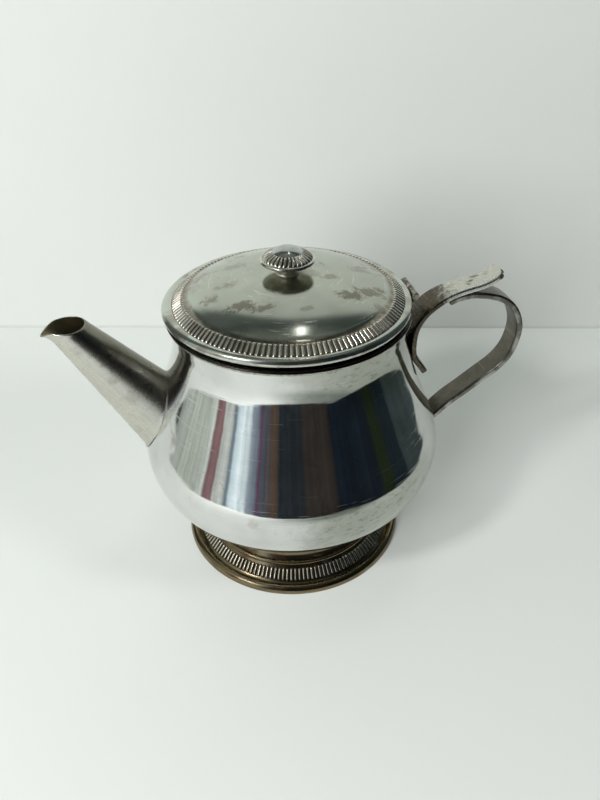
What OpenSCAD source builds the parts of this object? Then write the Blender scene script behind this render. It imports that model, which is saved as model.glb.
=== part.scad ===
// Metal teapot with a hinged lid: spun pear-shaped pot on a reeded foot, with a straight tapered spout
// and a handle bent from two flat straps.
// Millimetres, +Z up. The origin is the centre of the ring that the foot stands on.
// The handle points to +X and the spout to -X.

/* [Pot] */
// Largest outer radius of the belly
belly_r = 73; // [71:0.5:75]
// Height of the widest part of the belly above the table
belly_z = 60; // [58:0.5:62]
// Height of the top of the mouth bead above the table
rim_z = 131; // [129:0.5:133]
// Thickness of the sheet metal of the pot
wall = 1; // [0.8:0.1:1.2]

/* [Spout] */
// Distance from the pot's axis to the middle of the spout's mouth
mouth_x = 97.6; // [96:0.2:100]
// Length of the spout's mouth, from the back edge to the beak
mouth_l = 18.2; // [16:0.2:19]
// Width of the spout's mouth
mouth_w = 16; // [14:0.5:17]
// Length of the spout's oval where it leaves the pot, measured level
root_l = 53; // [50:0.5:54]
// Width of the spout's oval where it leaves the pot
root_w = 32; // [29:0.5:34]
// Thickness of the spout's sheet metal
spout_wall = 1; // [0.8:0.1:1.2]
// Diameter of the strainer holes behind the spout
strainer_d = 3.4; // [2.6:0.2:3.8]

/* [Handle] */
// Width of the lower strap, and of the upper strap at the thumb rest
strap_w = 12; // [10:0.5:14]
// Width of the upper strap where it is soldered to the pot
base_w = 14.5; // [14:0.5:16]
// Thickness of the upper strap, which ends in the thumb rest
upper_t = 2.8; // [2.4:0.1:3]
// Thickness of the lower strap, which makes the loop
lower_t = 3; // [2.6:0.1:3.2]
// Distance from the pot's axis to the outside of the loop
loop_x = 115.8; // [113:0.2:119]

/* [Lid] */
// Outer radius of the lid over its rim bead
lid_r = 55; // [54.5:0.1:55.5]
// Radius of the rim bead's round section
bead_r = 2.2; // [2:0.1:2.3]
// Height of the top of the dome above the rim of the pot
dome_h = 16.1; // [15.5:0.1:16.5]
// Thickness of the lid's sheet metal
lid_wall = 1; // [0.8:0.1:1.2]

/* [Knob] */
// Radius of the knob over its thin rim bead
knob_r = 12.1; // [11.5:0.1:12.5]
// Radius of the smooth button on top of the knob
button_r = 6.6; // [6:0.1:7]

/* [Foot] */
// Outer radius of the foot
foot_r = 57.8; // [57:0.1:59]
// Height of the foot's smooth outer flange
flange_h = 3.4; // [3:0.1:3.8]

/* [Hinge] */
// Outer radius of the hinge barrel
barrel_r = 1.7; // [1.6:0.05:1.75]
// Length of the hinge barrel
barrel_l = 17; // [15:0.5:19]
// Radius of the hinge pin
pin_r = 0.85; // [0.75:0.05:0.9]

/* [Hidden] */

silver = [0.78, 0.78, 0.76];
dull_silver = [0.60, 0.58, 0.54];
tarnish = [0.32, 0.27, 0.20];
grey_button = [0.58, 0.61, 0.58];

// Facets of round solids, on screen only
round_fn = 160;
// Running clearance between the hinge pin and the lid's knuckles
pin_gap = 0.05;
// Gap between the ends of neighbouring knuckles
knuckle_gap = 0.2;
// Number of knuckles in the barrel, the pot's and the lid's by turns
knuckles = 5;
// Height of the pot's underside above the table
base_z = 15.5;
// Thickness of the mouth bead above the shell's edge
mouth_bead_h = 2;
// Radial gap between the lid's bezel and the neck
bezel_gap = 0.8;
// Strainer holes in each row, from the lowest row up, and the distance between them
strainer_rows = [2, 3, 4, 3, 2];
strainer_pitch = 5;
// Distance between the rows
strainer_step = 5.4;
// Thickness of the hinge's tongues on the lid, and of the strip that joins them under the rim bead
leaf_t = 1;
strip_t = 0.5;
// Radius of the knob's stud
stud_r = 1.6;
// Thickness of the foot's sheet metal, radius of its fillet bead, and half the width of its flange
foot_wall = 1;
foot_bead_r = 1.15;
flange_half = 2.7;

// Height of the top edge of the pot's sheet metal
edge_z = rim_z - mouth_bead_h;
// Outer radius of the pot at its top edge
edge_r = lid_r - 0.7;
// Height of the middle of the lid's rim bead
lid_z = rim_z + 0.5 + bead_r;
// Radius of the circle that the rim bead's section runs on
lid_bead_x = lid_r - bead_r;
// Position of the hinge axis
hinge_x = lid_r + barrel_r + 0.35;
hinge_z = lid_z - 1.1;
// Height of the top of the lid's dome
dome_z = rim_z + dome_h;
// Heights of the underside of the knob's cap and of the top of the cap, where the button sits
cap_z = dome_z + 4.9;
seat_z = cap_z + 4.5;

// Point on a smooth curve through the stations a, b, c and d, at part t of the way from b to c
function curve_point(a, b, c, d, t) =
    0.5 * (2 * b + (c - a) * t + (2 * a - 5 * b + 4 * c - d) * t * t
    + (3 * b - a - 3 * c + d) * t * t * t);

// Smooth curve through all stations, with n steps from each station to the next
function smooth(s, n) = concat(
    [for (i = [0 : len(s) - 2], k = [0 : n - 1])
        curve_point(s[max(i - 1, 0)], s[i], s[i + 1], s[min(i + 2, len(s) - 1)], k / n)],
    [s[len(s) - 1]]);

function reversed(p) = [for (i = [len(p) - 1 : -1 : 0]) p[i]];

// Unit direction of the curve p at its point i
function direction(p, i) =
    let (d = p[min(i + 1, len(p) - 1)] - p[max(i - 1, 0)])
    d / norm(d);

// The curve p moved to its left by the distance off
function beside(p, off) = [
    for (i = [0 : len(p) - 1])
        let (d = direction(p, i))
        p[i] + off * [-d[1], d[0]]];

// The same for a section that starts on the axis and must not cross it
function beside_axis(p, off) = [for (q = beside(p, off)) [max(0, q[0]), q[1]]];

// Height on the pot's upper part, as a share of the way from the belly to the edge
function up(share) = belly_z + share * (edge_z - belly_z);

// Height on the pot's lower part, as a share of the way from the underside to the belly
function low(share) = base_z + share * (belly_z - base_z);

// Radius on the pot's upper part, as a share of the way from the edge to the belly
function wide(share) = edge_r + share * (belly_r - edge_r);

// Outer side of the pot, from the middle of its underside to its top edge
pot_stations = [
    [0, base_z], [0.2 * belly_r, base_z], [0.4 * belly_r, base_z + 0.3], [0.54 * belly_r, low(0.07)],
    [0.64 * belly_r, low(0.17)], [0.72 * belly_r, low(0.265)], [0.78 * belly_r, low(0.35)],
    [0.85 * belly_r, low(0.46)], [0.912 * belly_r, low(0.575)], [0.96 * belly_r, low(0.7)],
    [0.99 * belly_r, low(0.85)], [belly_r, belly_z],
    [wide(0.96), up(0.09)], [wide(0.84), up(0.18)], [wide(0.66), up(0.29)],
    [wide(0.44), up(0.435)], [wide(0.23), up(0.58)], [wide(0.085), up(0.7)],
    [wide(0), up(0.79)], [wide(-0.035), up(0.87)], [wide(-0.02), up(0.94)], [edge_r, edge_z]];
pot_curve = smooth(pot_stations, 2);
// Outer radius of the pot at the height z, above the foot
function pot_r(z) = lookup(z, [for (p = pot_curve) if (p[1] > base_z + 1) [p[1], p[0]]]);

// Outer side of the foot's spun sheet, from the inside of the rim to the underside of the pot
foot_stations = [
    [foot_r - 4.6, 1.6], [foot_r - 5.6, 2.2], [foot_r - 6.7, 3.2], [foot_r - 8.8, 5.2],
    [foot_r - 10.9, 7.3], [foot_r - 12.2, 8.8], [foot_r - 13.4, 10.6], [foot_r - 14.6, 13],
    [foot_r - 15.2, 16], [foot_r - 15, 19], [foot_r - 14, 23]];
foot_curve = smooth(foot_stations, 3);

// Outer side of the lid's sheet, from the middle of the dome to the rim bead
lid_stations = [
    [0, dome_z], [7, dome_z - 0.1], [14, dome_z - 0.45], [21, dome_z - 1.15], [28, dome_z - 2.3],
    [34, dome_z - 3.8], [39, dome_z - 5.5], [lid_r - 12, lid_z + 6.2], [lid_r - 10, lid_z + 5.2],
    [lid_r - 8.7, lid_z + 4.7], [lid_r - 7.6, lid_z + 4.3], [lid_r - 5.6, lid_z + 3], [lid_r - 3, lid_z + 1.2]];
lid_curve = smooth(lid_stations, 3);

// Where the upper strap is soldered to the pot
grip_z = rim_z - 31.2;
grip_x = pot_r(grip_z);
// Middle line of the upper strap, from its curled tail to the thumb rest
upper_stations = [
    [grip_x + 8.5, grip_z - 11.6], [grip_x + 4.9, grip_z - 6.5], [grip_x + 2.5, grip_z - 3],
    [grip_x + 1.3, grip_z], [grip_x + 0.8, grip_z + 3], [grip_x + 0.7, grip_z + 6],
    [grip_x + 0.8, grip_z + 9.4], [grip_x + 1.4, grip_z + 13.6], [grip_x + 3.2, grip_z + 17.9],
    [grip_x + 6.2, grip_z + 22], [grip_x + 10.6, grip_z + 25.6], [grip_x + 15.5, grip_z + 28.3],
    [grip_x + 21.4, grip_z + 30.3], [grip_x + 27.7, grip_z + 31.5], [grip_x + 32.7, grip_z + 32.6],
    [grip_x + 36.9, grip_z + 34.2], [grip_x + 40.1, grip_z + 36.2], [grip_x + 42.7, grip_z + 38.2]];
upper_line = smooth(upper_stations, 3);
thumb_x = grip_x + 42.8;
// Radius of the corners of the thumb rest, and where the strap starts and ends getting narrower
thumb_round = 3;
taper_x0 = grip_x + 8;
taper_x1 = grip_x + 28;

// Where the lower strap leaves the pot
root_z = belly_z - 1;
root_x = pot_r(root_z);
// Middle line of the lower strap, from the pot, round the loop and back under the upper strap
lower_stations = [
    [root_x - 2.1, root_z - 2.1], [root_x + 2.8, root_z + 0.9], [root_x + 6.8, root_z + 5.1],
    [root_x + 11.4, root_z + 9.1], [root_x + 17.4, root_z + 13.5], [loop_x - 16.6, rim_z - 51.5],
    [loop_x - 10.7, rim_z - 47], [loop_x - 6.4, rim_z - 42.5], [loop_x - 3.4, rim_z - 37.1],
    [loop_x - 1.9, rim_z - 31.4], [loop_x - 1.5, rim_z - 25.7], [loop_x - 2.4, rim_z - 20.2],
    [loop_x - 4.8, rim_z - 14.7], [loop_x - 8.7, rim_z - 9.8], [loop_x - 13.8, rim_z - 6.4],
    [loop_x - 19.5, rim_z - 4.4], [loop_x - 25, rim_z - 3.3], [grip_x + 28.5, rim_z - 2.9],
    [grip_x + 24.2, rim_z - 3.2], [grip_x + 20, rim_z - 4.2], [grip_x + 16.2, rim_z - 5.9]];
lower_line = smooth(lower_stations, 3);

// Level ovals of the spout, from inside the belly up to the mouth
spout_z0 = belly_z;
spout_z1 = rim_z + 0.8;
spout_x0 = 44.8;
// Heights of the spout's ovals, as shares of the way up, and how far the beak is drawn out at each
spout_levels = [[0, 0], [0.5, 0], [0.9, 0], [0.955, 0.3], [1, 1]];
spout_n = 40;
// How far the beak is drawn outwards, and how far it dips
beak_out = 1.6;
beak_dip = 3.4;
// How much narrower the mouth is towards the beak
beak_taper = 0.16;

function mix(a, b, t) = a + (b - a) * t;

// Oval of the spout at a level, with inset metal taken off each side
function spout_ring(level, inset) = [
    for (i = [0 : spout_n - 1])
        let (
            t = level[0],
            u = 360 * i / spout_n,
            half_l = mix(root_l, mouth_l, t) / 2 - 1.5 * inset,
            half_w = mix(root_w, mouth_w, t) / 2 - inset,
            beak = level[1] * pow(max(0, cos(u) - 0.45) / 0.55, 2),
            x = mix(spout_x0, mouth_x, t) + half_l * cos(u) + beak_out * beak,
            y = half_w * sin(u) * (1 - beak_taper * t * cos(u)),
            z = mix(spout_z0, spout_z1, t) - beak_dip * beak
        )
        [-x, y, z]];

// Closed skin through a stack of rings with the same number of points
module loft(rings) {
    n = len(rings[0]);
    m = len(rings);
    points = [for (r = rings) for (p = r) p];
    sides = [
        for (j = [0 : m - 2], i = [0 : n - 1])
            let (a = j * n + i, b = j * n + (i + 1) % n)
            for (f = [[a, b, a + n], [b, b + n, a + n]]) f];
    first = [for (i = [n - 1 : -1 : 0]) i];
    last = [for (i = [0 : n - 1]) (m - 1) * n + i];
    polyhedron(points, concat(sides, fan(first), fan(last)));
}

// Triangles that fill a convex ring of point numbers
function fan(f) = [for (i = [1 : len(f) - 2]) [f[0], f[i], f[i + 1]]];

// Body that fills the whole pot out to its outer side
module pot_solid() {
    rotate_extrude($fn = round_fn)
        polygon(concat(pot_curve, [[0, edge_z]]));
}

// Ring with a section drawn in the radius-height plane
module ring() {
    rotate_extrude($fn = round_fn)
        children();
}

// Flat bar of the given middle line, thickness and width, standing in the XZ plane
module strap(line, t, w) {
    translate([0, w / 2, 0])
        rotate([90, 0, 0])
            linear_extrude(w)
                polygon(concat(beside(line, t / 2), reversed(beside(line, -t / 2))));
}

// Knuckles number first, first + 2 and so on of the hinge barrel, each with its bore
module knuckle_row(first, bore_r) {
    pitch = barrel_l / knuckles;
    for (i = [first : 2 : knuckles - 1])
        translate([hinge_x, -barrel_l / 2 + i * pitch + knuckle_gap / 2, hinge_z])
            rotate([-90, 0, 0])
                difference() {
                    cylinder(r = barrel_r, h = pitch - knuckle_gap, $fn = 48);
                    translate([0, 0, -1])
                        cylinder(r = bore_r, h = pitch + 2, $fn = 48);
                }
}

// Room for the knuckles of the other leaf
module knuckle_room(first) {
    pitch = barrel_l / knuckles;
    for (i = [first : 2 : knuckles - 1])
        translate([hinge_x, -barrel_l / 2 + i * pitch - knuckle_gap / 2, hinge_z])
            rotate([-90, 0, 0])
                cylinder(r = barrel_r + 0.3, h = pitch + knuckle_gap, $fn = 48);
}

module pot_shell() {
    color(silver)
        difference() {
            ring()
                intersection() {
                    polygon(concat(pot_curve, reversed(beside_axis(pot_curve, wall))));
                    square([belly_r + 1, edge_z]);
                }
            for (row = [0 : len(strainer_rows) - 1], k = [0 : strainer_rows[row] - 1])
                translate([
                    -belly_r,
                    strainer_pitch * (k - (strainer_rows[row] - 1) / 2),
                    up(0.12) + strainer_step * row])
                    rotate([0, 90, 0])
                        cylinder(d = strainer_d, h = belly_r / 2, $fn = 24);
        }
}

module mouth_bead() {
    bead = 1.15;
    color(silver)
        ring()
            intersection() {
                translate([edge_r + 0.1, rim_z - bead])
                    circle(r = bead, $fn = 40);
                translate([edge_r - 2 * bead, edge_z])
                    square([4 * bead, mouth_bead_h]);
            }
}

module spout() {
    color(dull_silver)
        difference() {
            loft([for (l = spout_levels) spout_ring(l, 0)]);
            loft([for (l = [[-0.05, 0], [0.5, 0], [0.9, 0], [0.955, 0.3], [1, 1], [1.08, 1]])
                spout_ring(l, spout_wall)]);
            pot_solid();
        }
}

module foot_skirt() {
    color(tarnish)
        difference() {
            ring()
                difference() {
                    polygon(concat(foot_curve, reversed(beside(foot_curve, foot_wall))));
                    foot_bead_section();
                    foot_rim_section();
                }
            pot_solid();
        }
}

// Half-oval section of the foot's flange
module foot_rim_section() {
    translate([foot_r - flange_half, 0])
        polygon([for (a = [0 : 10 : 180]) [flange_half * cos(a), flange_h * sin(a)]]);
}

module foot_rim() {
    color(tarnish)
        ring()
            foot_rim_section();
}

module foot_bead_section() {
    translate([foot_r - 12, 9.3])
        circle(r = foot_bead_r, $fn = 32);
}

module foot_bead() {
    color(tarnish)
        ring()
            foot_bead_section();
}

// Low arched section laid on a sheet, from the point a to the point b, standing h proud
module arched_section(a, b, h) {
    d = (b - a) / norm(b - a);
    out = [-d[1], d[0]];
    polygon([for (k = [0 : 10]) a + (b - a) * k / 10 + out * h * sqrt(max(0, 1 - pow(k / 5 - 1, 4)))]);
}

module foot_reed_band() {
    color(tarnish)
        ring()
            difference() {
                arched_section([foot_r - 10.7, 6.9], [foot_r - 6.3, 2.6], 1);
                polygon(concat(foot_curve, reversed(beside(foot_curve, foot_wall))));
            }
}

module lid_reed_band() {
    color(tarnish)
        ring()
            difference() {
                arched_section([lid_r - 8.7, lid_z + 4.45], [lid_r - 3.1, lid_z + 1], 0.9);
                polygon(concat(lid_curve, reversed(beside_axis(lid_curve, -lid_wall))));
                lid_bead_section();
            }
}

module upper_strap() {
    color(dull_silver)
        difference() {
            intersection() {
                strap(upper_line, upper_t, base_w);
                translate([0, 0, grip_z - 20])
                    linear_extrude(80)
                        upper_outline();
            }
            pot_solid();
        }
}

// Outline of the upper strap seen from above: wide at the pot, with rounded corners at the thumb rest
module upper_outline() {
    polygon([
        [0, -base_w / 2], [taper_x0, -base_w / 2], [taper_x1, -strap_w / 2],
        [thumb_x - thumb_round, -strap_w / 2], [thumb_x - thumb_round, strap_w / 2],
        [taper_x1, strap_w / 2], [taper_x0, base_w / 2], [0, base_w / 2]]);
    translate([taper_x1, -strap_w / 2 + thumb_round])
        square([thumb_x - taper_x1, strap_w - 2 * thumb_round]);
    for (side = [-1, 1])
        translate([thumb_x - thumb_round, side * (strap_w / 2 - thumb_round)])
            circle(r = thumb_round, $fn = 48);
}

module lower_strap() {
    color(dull_silver)
        difference() {
            strap(lower_line, lower_t, strap_w);
            strap(upper_line, upper_t, strap_w + 2);
            pot_solid();
        }
}

module hinge_pot_leaf() {
    color(tarnish)
        difference() {
            union() {
                knuckle_row(0, pin_r);
                translate([0, barrel_l / 2 - knuckle_gap / 2, 0])
                    rotate([90, 0, 0])
                        linear_extrude(barrel_l - knuckle_gap)
                            polygon([
                                [edge_r - 1, edge_z - 2.4], [edge_r - 0.3, edge_z - 3.6],
                                [hinge_x + 0.9, hinge_z - barrel_r + 0.3], [hinge_x - 0.6, hinge_z - 0.8],
                                [edge_r + 1.4, edge_z + 0.4]]);
            }
            leaf_clearance();
        }
}

// Everything that the pot's hinge leaf must leave free
module leaf_clearance() {
    pot_solid();
    mouth_bead_room();
    knuckle_room(1);
    translate([hinge_x, -barrel_l, hinge_z])
        rotate([-90, 0, 0])
            cylinder(r = pin_r, h = 2 * barrel_l, $fn = 48);
    lid_swing();
}

// Room for the bead on the pot's mouth
module mouth_bead_room() {
    ring()
        translate([edge_r - 2, edge_z])
            square([3.25, mouth_bead_h]);
}

// Room round the lid's rim bead
module lid_swing() {
    ring()
        translate([lid_bead_x, lid_z])
            circle(r = bead_r + 0.35, $fn = 48);
}

module hinge_pin() {
    color(silver)
        translate([hinge_x, -barrel_l / 2, hinge_z])
            rotate([-90, 0, 0])
                cylinder(r = pin_r, h = barrel_l, $fn = 48);
}

module hinge_lid_leaf() {
    pitch = barrel_l / knuckles;
    color(tarnish)
        difference() {
            union() {
                knuckle_row(1, pin_r + pin_gap);
                for (i = [1 : 2 : knuckles - 1])
                    translate([lid_bead_x + 1.5, i * pitch + (knuckle_gap - barrel_l) / 2, hinge_z - 0.3])
                        cube([hinge_x - lid_bead_x - 1.5, pitch - knuckle_gap, leaf_t]);
                joining_strip();
            }
            ring()
                lid_bead_section();
            translate([hinge_x, -barrel_l, hinge_z])
                rotate([-90, 0, 0])
                    cylinder(r = pin_r + pin_gap, h = 2 * barrel_l, $fn = 48);
        }
}

// Thin strip that hugs the outer side of the lid's rim bead and leaves the pot's knuckles free
module joining_strip() {
    difference() {
        intersection() {
            ring()
                translate([lid_bead_x, lid_z])
                    circle(r = bead_r + strip_t, $fn = 48);
            translate([0, barrel_l / 2 - knuckle_gap / 2, 0])
                rotate([90, 0, 0])
                    linear_extrude(barrel_l - knuckle_gap)
                        polygon([
                            [lid_bead_x + 1.2, lid_z - bead_r], [lid_r + 1, lid_z - bead_r],
                            [lid_r + 1, hinge_z + 0.6], [lid_bead_x + 1.2, hinge_z + 0.6]]);
        }
        knuckle_room(0);
    }
}

module lid_bead_section() {
    translate([lid_bead_x, lid_z])
        circle(r = bead_r, $fn = 48);
}

module lid_rim_bead() {
    color(silver)
        ring()
            lid_bead_section();
}

module lid_shell() {
    color(silver)
        difference() {
            ring()
                difference() {
                    polygon(concat(lid_curve, reversed(beside_axis(lid_curve, -lid_wall))));
                    lid_bead_section();
                }
            stud_hole();
        }
}

// Hole for the knob's stud
module stud_hole() {
    translate([0, 0, dome_z - 10])
        cylinder(r = stud_r, h = 30, $fn = 32);
}

module lid_bezel() {
    bezel_r = wide(-0.04) - wall - bezel_gap;
    color(silver)
        ring()
            difference() {
                translate([bezel_r - 1, rim_z - 6])
                    square([1, lid_z - rim_z + 6]);
                lid_bead_section();
            }
}

module knob_base() {
    color(tarnish)
        difference() {
            ring()
                polygon([[0, dome_z], [5.4, dome_z - 0.3], [5.5, dome_z + 0.4], [4.6, dome_z + 1.3],
                    [4.4, dome_z + 2.4], [5.2, dome_z + 3.4], [8, cap_z - 0.8], [knob_r - 1.6, cap_z - 0.4],
                    [knob_r - 1.2, cap_z], [0, cap_z]]);
            ring()
                polygon(concat(lid_curve, [[0, 0]]));
            stud_hole();
        }
}

module knob_cap() {
    color(dull_silver)
        difference() {
            ring()
                union() {
                    polygon([[0, cap_z], [knob_r - 0.8, cap_z], [knob_r - 0.8, cap_z + 1.6],
                        [knob_r - 1.8, cap_z + 2.6], [knob_r - 3.5, cap_z + 3.8],
                        [button_r, seat_z], [0, seat_z]]);
                    translate([knob_r - 0.8, cap_z + 0.8])
                        circle(r = 0.8, $fn = 32);
                }
            stud_hole();
        }
}

module knob_button() {
    rise = 2.3;
    ball_r = (button_r * button_r + rise * rise) / (2 * rise);
    color(grey_button)
        intersection() {
            translate([0, 0, seat_z + rise - ball_r])
                sphere(r = ball_r, $fn = 96);
            translate([0, 0, seat_z])
                cylinder(r = button_r, h = rise + 1, $fn = 96);
        }
}

module knob_stud() {
    color(silver)
        translate([0, 0, dome_z - 5])
            cylinder(r = stud_r, h = seat_z - dome_z + 5, $fn = 32);
}

module knob_nut() {
    nut_h = 2.6;
    // The dome's underside falls away from the axis, so the nut sits a little lower
    seat_gap = 0.1;
    color(silver)
        difference() {
            translate([0, 0, dome_z - lid_wall - seat_gap - nut_h])
                cylinder(r = 3.4, h = nut_h, $fn = 6);
            stud_hole();
        }
}

pot_shell();
mouth_bead();
spout();
foot_skirt();
foot_rim();
foot_reed_band();
foot_bead();
upper_strap();
lower_strap();
hinge_pot_leaf();
hinge_pin();
hinge_lid_leaf();
lid_shell();
lid_rim_bead();
lid_reed_band();
lid_bezel();
knob_base();
knob_cap();
knob_button();
knob_stud();
knob_nut();
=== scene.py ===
"""Looks of the metal teapot with a hinged lid: detailed pieces, materials, stage, lights and camera.

Sizes are in millimetres, and MM turns them into metres. X points to the handle, -X to the spout, Z up.
"""

import math

import bmesh
import bpy
from mathutils import Matrix, Vector


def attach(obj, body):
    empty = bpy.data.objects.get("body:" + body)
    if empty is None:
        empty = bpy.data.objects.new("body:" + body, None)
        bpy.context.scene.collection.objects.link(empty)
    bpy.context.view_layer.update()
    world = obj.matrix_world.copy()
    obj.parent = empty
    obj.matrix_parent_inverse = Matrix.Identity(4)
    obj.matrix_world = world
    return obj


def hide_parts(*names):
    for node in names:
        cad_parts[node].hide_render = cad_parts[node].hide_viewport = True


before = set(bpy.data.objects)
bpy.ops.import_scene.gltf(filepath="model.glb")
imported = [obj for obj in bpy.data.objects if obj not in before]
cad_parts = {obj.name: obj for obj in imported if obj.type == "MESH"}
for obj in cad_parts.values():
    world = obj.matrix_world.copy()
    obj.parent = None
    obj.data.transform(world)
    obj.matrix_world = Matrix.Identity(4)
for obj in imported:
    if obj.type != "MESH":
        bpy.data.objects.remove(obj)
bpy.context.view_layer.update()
scene = bpy.context.scene

MM = 0.001

# Pot, as in the part's source
BELLY_R = 73.0
BELLY_Z = 60.0
BASE_Z = 15.5
RIM_Z = 131.0
EDGE_Z = RIM_Z - 2.0
WALL = 1.0
STRAINER_ROWS = (2, 3, 4, 3, 2)
STRAINER_R = 1.7
STRAINER_PITCH = 5.0
STRAINER_STEP = 5.4

# Lid
LID_R = 55.0
EDGE_R = LID_R - 0.7
BEAD_R = 2.2
LID_Z = RIM_Z + 0.5 + BEAD_R
DOME_Z = RIM_Z + 16.1
LID_WALL = 1.0
LID_REEDS = 140

# Knob
KNOB_R = 12.1
BUTTON_R = 6.6
BUTTON_H = 2.3
CAP_Z = DOME_Z + 4.9
SEAT_Z = CAP_Z + 4.5
STUD_R = 1.6
BORE_R = STUD_R + 0.1
LIP_R = 0.8
FLUTES = 32
FLUTE_R = KNOB_R - 0.98
FLUTE_Z = CAP_Z + 1.9

# Foot
FOOT_R = 57.8
FLANGE_H = 3.4
FLANGE_HALF = 2.7
FOOT_BEAD_R = 1.15
FOOT_WALL = 1.0
FOOT_REEDS = 150

# Straps of the handle
BASE_W = 14.5
STRAP_W = 12.0
UPPER_T = 2.8
LOWER_T = 3.0
LOOP_X = 115.8

# Spout: its oval at the root and at the mouth, its run between them, and the beak
ROOT_L, ROOT_W = 53.0, 32.0
MOUTH_L, MOUTH_W = 18.2, 16.0
SPOUT_X0, MOUTH_X = 44.8, 97.6
SPOUT_Z0, SPOUT_Z1 = BELLY_Z, RIM_Z + 0.8
SPOUT_RUN = 87.0
SPOUT_WALL = 1.0
BEAK_OUT, BEAK_DIP, BEAK_TAPER = 1.6, 3.4, 0.16
# Direction of the spout's axis, outwards and up
LEAN_X, LEAN_Z = 0.592, 0.806


# Curves

def blend(a, b, t):
    return a + (b - a) * t


def smooth(stations, steps):
    """Smooth curve through the stations."""
    points = [Vector(s) for s in stations]
    last = len(points) - 1
    out = []
    for i in range(last):
        a, b, c, d = points[max(i - 1, 0)], points[i], points[i + 1], points[min(i + 2, last)]
        for k in range(steps):
            t = k / steps
            out.append(0.5 * (2 * b + (c - a) * t + (2 * a - 5 * b + 4 * c - d) * t * t
                              + (3 * b - a - 3 * c + d) * t ** 3))
    out.append(points[last])
    return out


def direction(line, i):
    """Unit direction of the line at its point i."""
    return (line[min(i + 1, len(line) - 1)] - line[max(i - 1, 0)]).normalized()


def beside(line, off):
    """The line moved to its left."""
    out = []
    for i, p in enumerate(line):
        d = direction(line, i)
        out.append(p + off * Vector((-d.y, d.x)))
    return out


def sheet_section(line, thick):
    """Closed section of a sheet: the line, then back along the line beside it, which ends on the axis."""
    back = [(p.x if p.x > 0.01 else 0.0, p.y) for p in reversed(beside(line, thick))]
    return [tuple(p) for p in line] + back


def lookup(z, line):
    """Radius of a rising profile at a height."""
    for a, b in zip(line, line[1:]):
        if a.y <= z <= b.y:
            return a.x + (b.x - a.x) * (z - a.y) / max(b.y - a.y, 1e-9)
    return line[-1].x if z > line[-1].y else line[0].x


def arc(cx, cz, r, start, end, n, tall=None):
    """Points on an arc in the radius-height plane, of an oval when tall gives its upright half axis."""
    out = []
    for k in range(n + 1):
        a = math.radians(start + (end - start) * k / n)
        out.append((cx + r * math.cos(a), cz + (tall or r) * math.sin(a)))
    return out


def turn_angles(n):
    """Angles of n equal steps round a circle."""
    return [2 * math.pi * k / n for k in range(n)]


# Meshes

def finish_mesh(name, verts, faces, crease=38):
    """Mesh object from points in millimetres, with outward normals."""
    mesh = bpy.data.meshes.new(name)
    mesh.from_pydata([(x * MM, y * MM, z * MM) for x, y, z in verts], [], faces)
    bm = bmesh.new()
    bm.from_mesh(mesh)
    bmesh.ops.remove_doubles(bm, verts=bm.verts, dist=1e-7)
    bmesh.ops.recalc_face_normals(bm, faces=bm.faces)
    bm.to_mesh(mesh)
    bm.free()
    mesh.polygons.foreach_set("use_smooth", [True] * len(mesh.polygons))
    mesh.set_sharp_from_angle(angle=math.radians(crease))
    obj = bpy.data.objects.new(name, mesh)
    scene.collection.objects.link(obj)
    return obj


def skin(rings, closed):
    """Points and faces of a skin over rings; closed joins the last ring to the first."""
    n = len(rings[0])
    count = len(rings)
    verts = [p for r in rings for p in r]
    faces = []
    for j in range(count if closed else count - 1):
        k = (j + 1) % count
        for i in range(n):
            m = (i + 1) % n
            faces.append((j * n + i, j * n + m, k * n + m, k * n + i))
    if not closed:
        faces.append(tuple(range(n - 1, -1, -1)))
        faces.append(tuple((count - 1) * n + i for i in range(n)))
    return verts, faces


def lathe(name, section, turns=192, shape=None, crease=38):
    """Closed section turned round the Z axis; shape may move a point at an angle."""
    rings = []
    for angle in turn_angles(turns):
        c, s = math.cos(angle), math.sin(angle)
        moved = [shape(angle, r, z) for r, z in section] if shape else section
        rings.append([(r * c, r * s, z) for r, z in moved])
    verts, faces = skin(rings, True)
    on_axis = [math.hypot(x, y) < 1e-9 for x, y, z in verts]
    faces = [f for f in faces if not all(on_axis[i] for i in f)]
    return finish_mesh(name, verts, faces, crease)


def reed_band(name, a, b, height, count, half):
    """Band of rounded tongues laid on a sheet from the point a of its section out and down to b."""
    steps, across, sink, overlap = 10, 18, 0.4, 0.05
    a, b = Vector(a), Vector(b)
    length = (b - a).length
    d = (b - a) / length
    out = Vector((-d.y, d.x))
    pitch = math.pi * (a.x + b.x) / count
    rings = []
    for t, angle in enumerate(turn_angles(count * steps)):
        off = ((t % steps) / steps - 0.5) * pitch
        line = []
        for i in range(across + 1):
            w = length * i / across
            dist = math.hypot(off, w - min(max(w, half), length - half))
            lift = height * math.sqrt(max(0.0, 1 - (dist / half) ** 2))
            line.append(a + d * w + out * (lift - overlap))
        line += [b - out * sink, a - out * sink]
        rings.append([(p.x * math.cos(angle), p.x * math.sin(angle), p.y) for p in line])
    verts, faces = skin(rings, True)
    return finish_mesh(name, verts, faces, 60)


def bar_section(half_w, half_t, corner, crown):
    """Section of a flat bar as pairs, through its thickness and across its width, with crowned faces."""
    corner = min(corner, half_t * 0.95)
    ring = []
    for su, sv, start in ((1, 1, 0), (-1, 1, 90), (-1, -1, 180), (1, -1, 270)):
        ring += arc(su * (half_t - corner), sv * (half_w - corner), corner, start, start + 90, 4)
    # Steps on the straight stretches: over the two narrow edges, then over the two faces
    steps = {4: 8, 14: 8, 9: 16, 19: 16}
    full = []
    for i, (u, v) in enumerate(ring):
        next_u, next_v = ring[(i + 1) % len(ring)]
        n = steps.get(i, 1)
        full += [(blend(u, next_u, k / n), blend(v, next_v, k / n)) for k in range(n)]
    return [(u + crown * (1 - (v / half_w) ** 2) * u / half_t, v) for u, v in full]


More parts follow.
